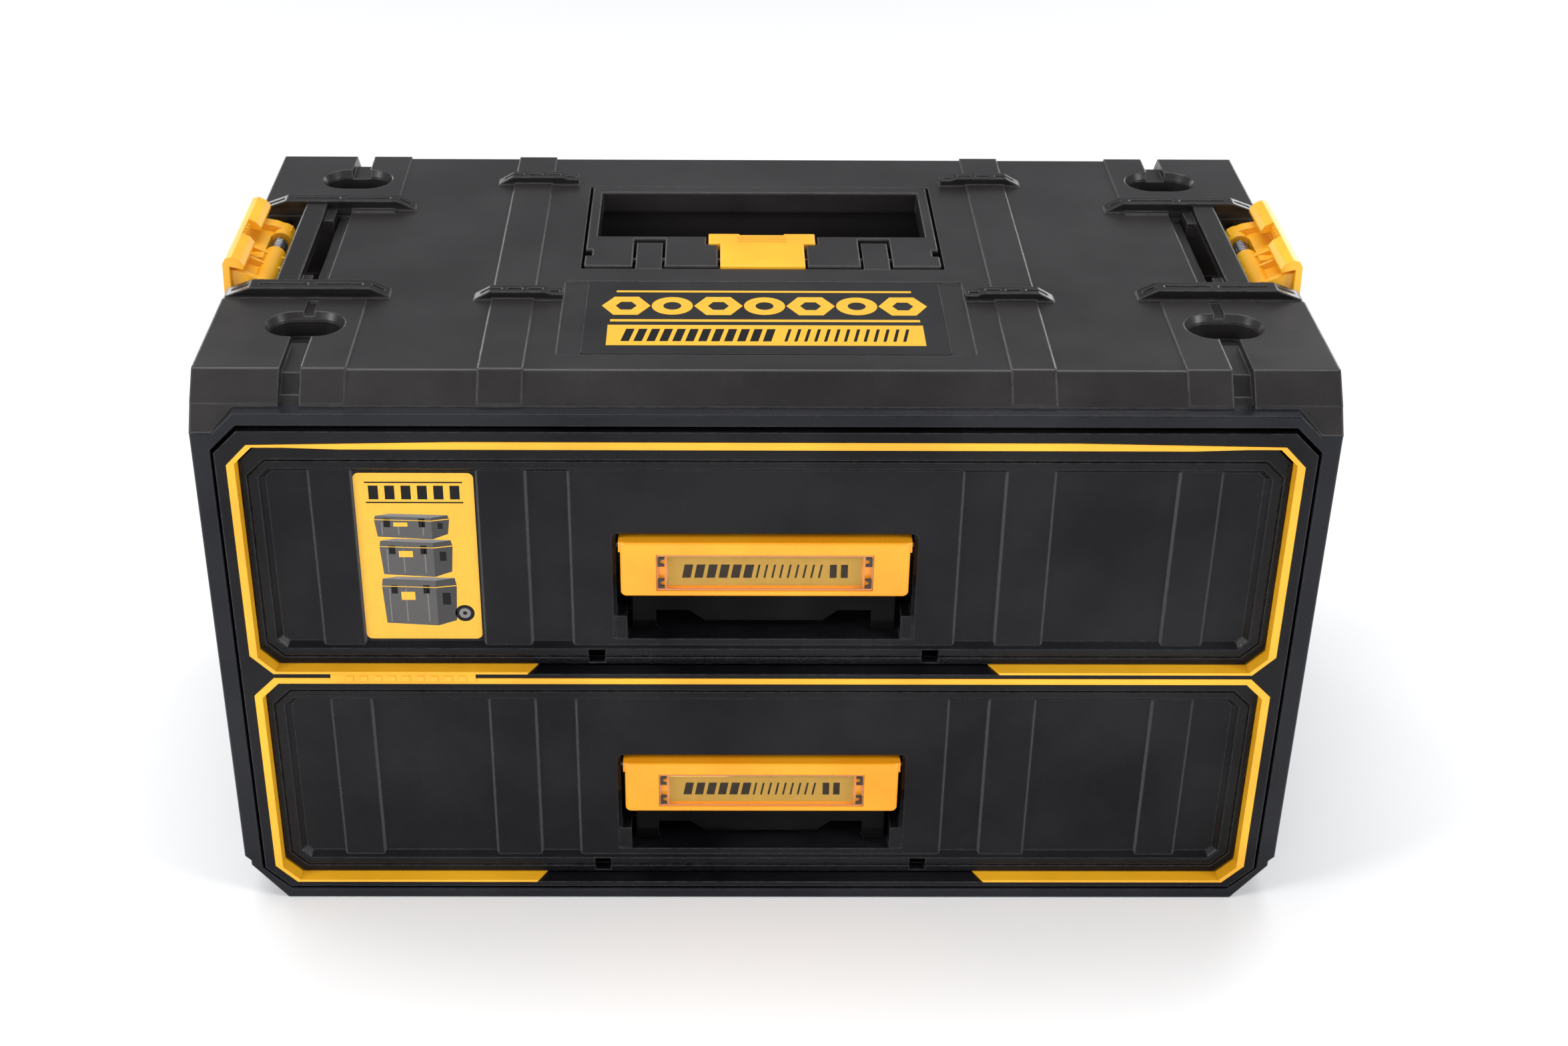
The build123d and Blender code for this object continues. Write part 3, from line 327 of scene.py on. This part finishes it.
def metal(name, colour, rough, stretch=(1, 1, 1)):
    """Plated metal with a drawn grain, dull spots and bright edges."""
    n = Nodes(name)
    grainy = n.noise(METAL_GRAIN, detail=5.0, roughness=0.65, stretch=stretch)
    cloud = n.span(n.noise(0.02, detail=4.0), *CLOUD_RANGE, 0, 1)
    base = n.mix(cloud, colour, scaled(colour, 0.72))
    lighter_edges = n.math("MULTIPLY", n.edges(0.0004), EDGE_WEAR)
    n.link(n.mix(lighter_edges, base, scaled(colour, 1.2)), n.shader.inputs["Base Color"])
    n.shader.inputs["Metallic"].default_value = 1.0
    n.link(n.span(grainy, *NOISE_RANGE, rough * 0.75, rough * 1.3), n.shader.inputs["Roughness"])
    n.link(n.bump(grainy, 0.00001, radius=0.0003), n.shader.inputs["Normal"])
    return n.material


def clear_plastic(name, tint):
    """Clear tinted cover with faint surface waves and scuffs."""
    n = Nodes(name)
    scuffs = n.noise(0.0015, detail=4.0, stretch=(0.2, 1, 1))
    n.shader.inputs["Base Color"].default_value = (*tint, 1)
    n.shader.inputs["Alpha"].default_value = WINDOW_ALPHA
    n.link(n.span(scuffs, 0.4, 0.75, 0.05, 0.2), n.shader.inputs["Roughness"])
    n.link(n.bump(n.noise(0.01), 0.00002, radius=0.0003), n.shader.inputs["Normal"])
    return n.material


def printed(name, colour, rough=0.3, specular=0.5):
    """Printed film or card: flat ink with a very fine tooth."""
    n = Nodes(name)
    blots = n.span(n.noise(0.008, detail=5.0), *NOISE_RANGE, 0, 1)
    n.link(n.mix(blots, colour, scaled(colour, 0.93)), n.shader.inputs["Base Color"])
    gloss = n.span(n.noise(0.003, detail=3.0), *NOISE_RANGE, rough * 0.8, rough * 1.2)
    n.link(gloss, n.shader.inputs["Roughness"])
    n.link(n.bump(n.noise(FIBRE), 0.000006), n.shader.inputs["Normal"])
    n.shader.inputs["Specular IOR Level"].default_value = specular
    return n.material


YELLOW_TRIM = (0.84, 0.4, 0.012)
YELLOW_PULL = (0.96, 0.33, 0.006)
YELLOW_LATCH = (0.92, 0.42, 0.015)
YELLOW_INK = (0.86, 0.47, 0.03)
YELLOW_CARD = (1.0, 0.6, 0.12)
BLACK_INK = (0.008, 0.008, 0.008)
GREY_INKS = {"dark_ink": (0.03, 0.029, 0.028), "middle_ink": (0.075, 0.072, 0.07),
             "pale_ink": (0.19, 0.185, 0.18)}


def make_materials():
    """One material for each material slot of the record, and a few for print."""
    panel_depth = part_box("upper_drawer_front")[0].y + PANEL_LIP
    deck_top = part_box("top_label_plate")[1].z
    made = {
        "case_plastic": moulded_plastic("case_plastic", (0.0042, 0.0048, 0.008), 0.3, grain=0.0007,
                                        specular=0.22, edge=0.001, edge_wear_and_highlight=0.9),
        "deck_plastic": moulded_plastic("deck_plastic", (0.0122, 0.0104, 0.0108), 0.34, grain=0.0005,
                                        specular=0.42, edge=0.0014, edge_wear_and_highlight=1.0,
                                        painted_shade_above=deck_top + RAIL_STEP),
        "front_plastic": moulded_plastic("front_plastic", (0.0038, 0.0037, 0.0052), 0.25, grain=0.0011,
                                         grain_height=0.00012, cells=True, specular=0.15, edge=0.0012,
                                         edge_wear_and_highlight=1.0, painted_flank_highlight=(0.06, 0.06, 0.065),
                                         grain_in_front_of=panel_depth),
        "label_plate": moulded_plastic("label_plate", (0.009, 0.009, 0.0095), 0.42, grain=0.0004,
                                       specular=0.25),
        "trim_plastic": moulded_plastic("trim_plastic", YELLOW_TRIM, 0.32, grain=0.001, edge_wear_and_highlight=0.1),
        "pull_plastic": moulded_plastic("pull_plastic", YELLOW_PULL, 0.3, grain=0.0006, edge_wear_and_highlight=0.1,
                                        edge=0.0012),
        "latch_plastic": moulded_plastic("latch_plastic", YELLOW_LATCH, 0.3, grain=0.0006, edge_wear_and_highlight=0.1,
                                         edge=0.001),
        "latch_bar_plastic": moulded_plastic("latch_bar_plastic", (0.0012, 0.0012, 0.0015), 0.14,
                                             specular=0.04),
        "tub_plastic": moulded_plastic("tub_plastic", (0.011, 0.011, 0.012), 0.45, grain=0.0009,
                                       grain_height=0.00004, specular=0.35),
        "window_plastic": clear_plastic("window_plastic", (1.0, 0.62, 0.3)),
        "card": printed("card", YELLOW_CARD, rough=0.6, specular=0.15),
        "frame_ink": printed("frame_ink", (0.62, 0.26, 0.13), rough=0.2),
        "sticker": printed("sticker", YELLOW_INK),
        "slide_steel": metal("slide_steel", (0.62, 0.63, 0.65), 0.32, stretch=(1, 0.04, 1)),
        "bracket_steel": metal("bracket_steel", (0.5, 0.51, 0.52), 0.4, stretch=(1, 0.04, 1)),
        "cage_steel": metal("cage_steel", (0.6, 0.58, 0.52), 0.35, stretch=(1, 0.1, 1)),
        "ball_steel": metal("ball_steel", (0.8, 0.8, 0.82), 0.12),
        "pin_steel": metal("pin_steel", (0.55, 0.56, 0.58), 0.3),
        "dark_steel": metal("dark_steel", (0.05, 0.05, 0.055), 0.35),
        "spring_steel": metal("spring_steel", (0.3, 0.3, 0.32), 0.3),
        "dark_clip": moulded_plastic("dark_clip", (0.03, 0.018, 0.012), 0.25, edge=0.0003),
        "yellow_ink": printed("yellow_ink", YELLOW_INK),
        "black_ink": printed("black_ink", BLACK_INK, specular=0.15),
    }
    for name, colour in GREY_INKS.items():
        made[name] = printed(name, colour)
    return made


def dress_nodes(materials):
    """Give every CAD node the material of its slot."""
    slot_of = {entry["node"]: entry["material_slot"] for entry in frame["record"]["subparts"]}
    for name, node in NODES.items():
        node.data.materials.clear()
        node.data.materials.append(materials[slot_of[name]])
        # light reaches the cards through their clear windows
        node.visible_shadow = slot_of[name] != "window_plastic"


# ---------------------------------------------------------------- printed and small pieces

PRINT_THICKNESS = 0.06 * MM


class Print:
    """Flat shapes in millimetres on one face of a node, as one thin raised piece in one ink."""

    def __init__(self, name, origin, right, up, ink, thickness=PRINT_THICKNESS):
        self.name, self.origin, self.ink, self.thickness = name, Vector(origin), ink, thickness
        self.right, self.up = Vector(right), Vector(up)
        self.out = self.right.cross(self.up)
        self.shapes = []

    def shape(self, points):
        """One flat shape with straight sides, its corners counted against the clock."""
        self.shapes.append(points)

    def bar(self, x0, x1, y0, y1, slant=0.0):
        """Bar between two corners, its top pushed sideways by slant."""
        self.shape([(x0, y0), (x1, y0), (x1 + slant, y1), (x0 + slant, y1)])

    def row(self, count, first, step, width, low, high, slant=0.0):
        """Row of equal bars, the first of them starting at first."""
        for k in range(count):
            left = first + k * step
            self.bar(left, left + width, low, high, slant)

    def ring(self, x, y, outer, inner, sides=6):
        """Ring of straight sides, such as a nut seen from above, or a round one of many sides."""
        angles = [2 * math.pi * k / sides for k in range(sides + 1)]
        for a, b in zip(angles, angles[1:]):
            self.shape([(x + inner * math.cos(a), y + inner * math.sin(a)),
                        (x + outer * math.cos(a), y + outer * math.sin(a)),
                        (x + outer * math.cos(b), y + outer * math.sin(b)),
                        (x + inner * math.cos(b), y + inner * math.sin(b))])

    def disc(self, x, y, radius, sides=24):
        """Round spot."""
        angles = [2 * math.pi * k / sides for k in range(sides)]
        self.shape([(x + radius * math.cos(a), y + radius * math.sin(a)) for a in angles])

    def make(self, body, slot):
        """Raise the shapes by the thickness, and let the piece ride on a body."""
        points, faces = [], []
        for shape in self.shapes:
            first, count = len(points), len(shape)
            for depth in (0, self.thickness):
                points += [self.origin + (self.right * x + self.up * y) * MM + self.out * depth
                           for x, y in shape]
            faces.append(tuple(first + count + k for k in range(count)))
            faces.append(tuple(first + k for k in reversed(range(count))))
            for k in range(count):
                after = (k + 1) % count
                faces.append((first + k, first + after, first + count + after, first + count + k))
        mesh = bpy.data.meshes.new(self.name)
        mesh.from_pydata(points, [], faces)
        mesh.materials.append(MATERIALS[self.ink])
        piece = bpy.data.objects.new(self.name, mesh)
        bpy.context.scene.collection.objects.link(piece)
        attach(piece, body)


def front_middle(low, high):
    """Middle of the front face of a box."""
    return Vector(((low.x + high.x) / 2, low.y, (low.z + high.z) / 2))


def print_deck_label():
    """Plain emblem on the deck's plate: two lines, a row of nuts and washers, and a barred strip."""
    low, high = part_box("top_label_plate")
    origin = ((low.x + high.x) / 2, (low.y + high.y) / 2, high.z)
    emblem = Print("deck_emblem", origin, (1, 0, 0), (0, 1, 0), "yellow_ink")
    emblem.bar(-76, 76, 29.2, 31.4)
    emblem.bar(-78, 78, -5.6, -3.0)
    for k in range(7):
        x = (k - 3) * 23.5
        if k % 2:
            emblem.ring(x, 13.0, 10.5, 4.6, sides=28)
        else:
            emblem.ring(x, 13.0, 12.4, 5.4, sides=6)
    emblem.bar(-79, 79, -32.5, -9.5)
    emblem.make("case", "sticker")
    on_emblem = Vector(origin) + Vector((0, 0, PRINT_THICKNESS))
    strokes = Print("deck_emblem_strokes", on_emblem, (1, 0, 0), (0, 1, 0), "black_ink",
                    thickness=PRINT_THICKNESS / 3)
    strokes.row(12, -72, 6.4, 4.2, -28, -14, slant=2.5)
    strokes.row(13, 9, 4.9, 1.6, -28, -14, slant=2.5)
    strokes.make("case", "label_plate")


def print_card(level):
    """Row of slanted strokes on the card of a pull, bold at the left and light at the right."""
    origin = front_middle(*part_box(f"{level}_label_card"))
    strokes = Print(f"{level}_card_strokes", origin, (1, 0, 0), (0, 0, 1), "black_ink", thickness=0.03 * MM)
    half_height = 3.9
    strokes.row(6, -41.5, 6.1, 4.3, -half_height, half_height, slant=1.4)
    strokes.row(9, -4.6, 3.9, 1.0, -half_height, half_height, slant=1.4)
    strokes.row(2, 32.5, 5.6, 3.5, -half_height, half_height)
    strokes.make(f"{level}_pull", "card")


def make_window_frame(level):
    """Moulded line round the window and round the card behind it."""
    low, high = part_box(f"{level}_label_window")
    frame_lines = Print(f"{level}_window_frame", front_middle(low, high), (1, 0, 0), (0, 0, 1), "frame_ink",
                        thickness=0.25 * MM)
    half_width, half_height = (high.x - low.x) / 2 / MM, (high.z - low.z) / 2 / MM
    rim = 0.7
    inside = half_height - rim
    for end in (-1, 1):
        frame_lines.bar(-half_width, half_width, *sorted((end * half_height, end * inside)))
        for outer, inner in ((0, rim), (4.4, 4.8)):
            sides = sorted((end * (half_width - outer), end * (half_width - inner)))
            frame_lines.bar(*sides, -inside, inside)
    frame_lines.make(f"{level}_pull", "window_plastic")


def make_window_clips(level):
    """Four dark spring clips that hold the window of a pull at its ends."""
    proud = Vector((0, -0.35, 0)) * MM
    origin = front_middle(*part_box(f"{level}_label_window")) + proud
    clips = Print(f"{level}_window_clips", origin, (1, 0, 0), (0, 0, 1), "dark_clip", thickness=-0.9 * MM)
    hook = ((50.2, 3.6), (53.6, 3.6), (53.6, 8.9), (50.2, 8.9), (50.2, 7.8), (52.2, 7.2), (52.2, 5.3),
            (50.2, 4.7))
    for side in (-1, 1):
        for end in (-1, 1):
            points = [(side * x, end * y) for x, y in hook]
            clips.shape(points if side * end > 0 else points[::-1])
    clips.make(f"{level}_pull", "dark_steel")


# base, top, left and right of each case in the sticker's picture, in millimetres, from the lowest up
PICTURED_CASES = ((-40.5, -12.4, -19.6, 18.0), (-11.4, 9.8, -19.2, 17.2), (10.6, 24.2, -20.8, 16.4))


def print_sticker():
    """Plain picture on the drawer's sticker: a head strip, three stacked cases and a wheel."""
    origin = front_middle(*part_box("upper_sticker"))
    lift = Vector((0, -1, 0)) * PRINT_THICKNESS / 3

    def layer(name, ink, step):
        return Print(f"sticker_{name}", origin + lift * step, (1, 0, 0), (0, 0, 1), ink, PRINT_THICKNESS / 3)

    head = layer("head", "black_ink", 0)
    head.bar(-24, 24, 42.8, 43.6)
    head.bar(-24, 24, 31.4, 32.2)
    head.row(6, -22.4, 8, 4.8, 33.6, 41.4)
    wheel = (21.3, -33.0)
    head.disc(*wheel, 4.9)
    fronts, sides = layer("fronts", "middle_ink", 0), layer("sides", "dark_ink", 0)
    pale, dark = layer("lines", "pale_ink", 1), layer("latches", "black_ink", 1)
    yellow = layer("marks", "yellow_ink", 2)
    corner = 7.5
    for base, top, left, right in PICTURED_CASES:
        lid = top - 0.16 * (top - base) - 1.0
        fronts.shape([(left + 1.2, base + 1.6), (corner, base), (corner, lid), (left, lid + 0.8)])
        sides.shape([(corner, base), (right - 1, base + 3.2), (right, lid + 1.2), (corner, lid)])
        fronts.shape([(left, lid + 1.0), (corner, lid + 0.2), (corner, top - 1.2), (left + 0.6, top)])
        sides.shape([(corner, lid + 0.2), (right, lid + 1.4), (right - 0.8, top + 0.4), (corner, top - 1.2)])
        pale.shape([(left + 0.6, top), (corner, top - 1.2), (right - 0.8, top + 0.4), (left + 8, top + 1.2)])
        for x in (left + 3.4, left + 11.6, corner - 4.6):
            pale.bar(x, x + 0.5, base + 2.4, lid - 0.6)
        for x in (left + 4.6, corner - 6.4):
            dark.bar(x, x + 3.2, lid - 3.4, lid + 1.6)
        dark.bar(corner + 3.0, right - 3.4, base + 0.45 * (top - base), base + 0.7 * (top - base))
        yellow.bar(left + 9.4, left + 16.4, base + 0.55 * (top - base), base + 0.72 * (top - base))
        yellow.shape([(left, lid + 0.8), (corner, lid), (corner, lid + 0.4), (left, lid + 1.2)])
        yellow.shape([(corner, lid), (right, lid + 1.2), (right, lid + 1.7), (corner, lid + 0.5)])
    pale.ring(*wheel, 3.0, 1.1, sides=18)
    for part in (head, fronts, sides, pale, dark, yellow):
        part.make("upper_drawer", "sticker")


set_colours()
make_camera()
make_world()
make_floor()
make_lights()
MATERIALS = make_materials()
dress_nodes(MATERIALS)
print_deck_label()
print_sticker()
for each_level in LEVELS:
    print_card(each_level)
    make_window_frame(each_level)
    make_window_clips(each_level)
